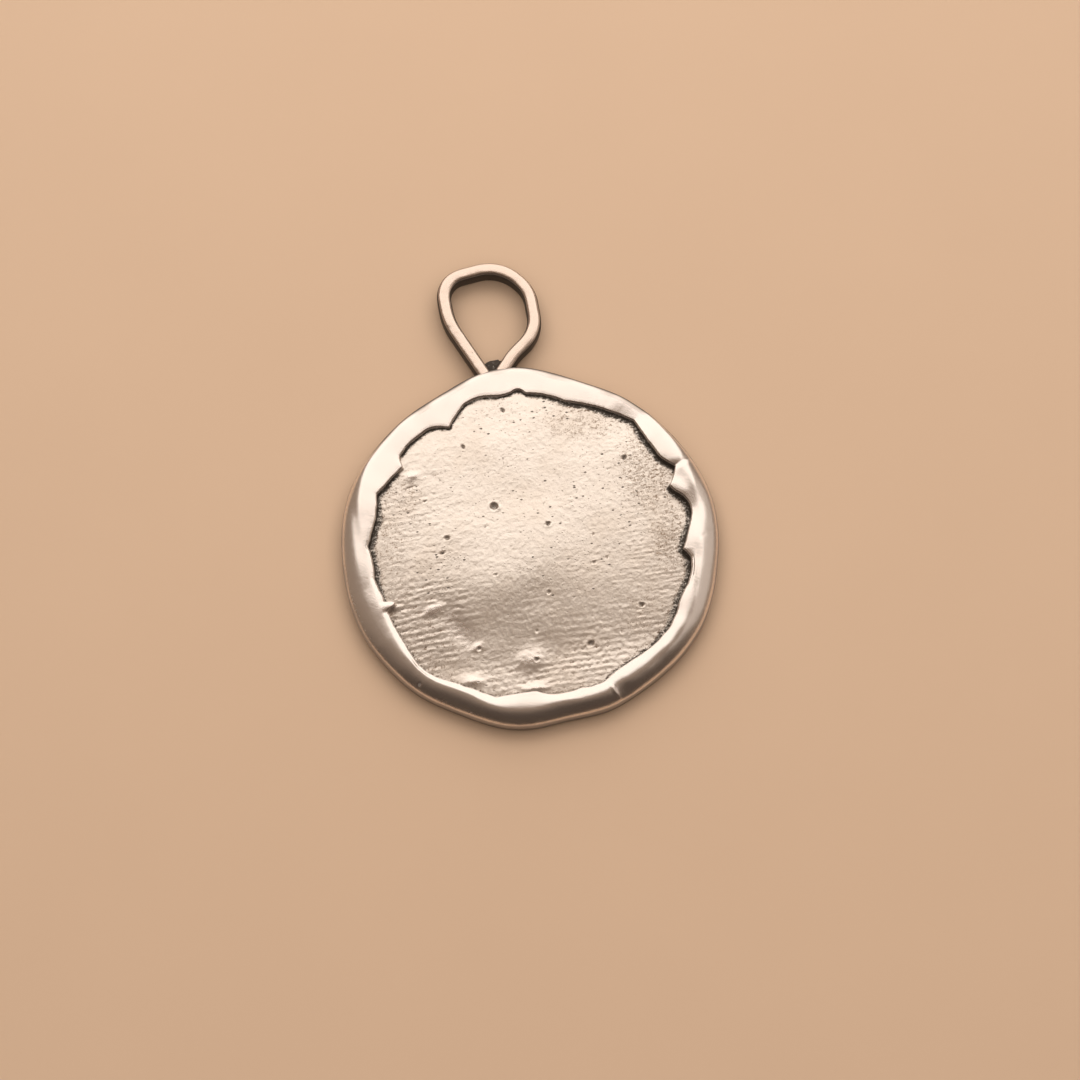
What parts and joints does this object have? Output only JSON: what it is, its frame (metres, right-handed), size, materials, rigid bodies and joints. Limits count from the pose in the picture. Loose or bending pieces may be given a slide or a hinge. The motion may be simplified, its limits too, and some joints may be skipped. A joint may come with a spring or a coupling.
{
  "type": "silver disc pendant",
  "caption": "Cast silver disc pendant with a raised scalloped rim, a sunken domed face and a fixed wire bail.",
  "frame": {"origin": "middle of the disc on its flat back", "axes": "+X to the right and +Y towards the bail as the face is seen, +Z out of the face"},
  "size_m": [0.0288, 0.0381, 0.0022],
  "materials": {
    "pendant": "cast silver: polished rim and bail, satin face, dark oxide in the recesses"
  },
  "bodies": {
    "root": {"pendant": "pendant"}
  },
  "joints": []
}
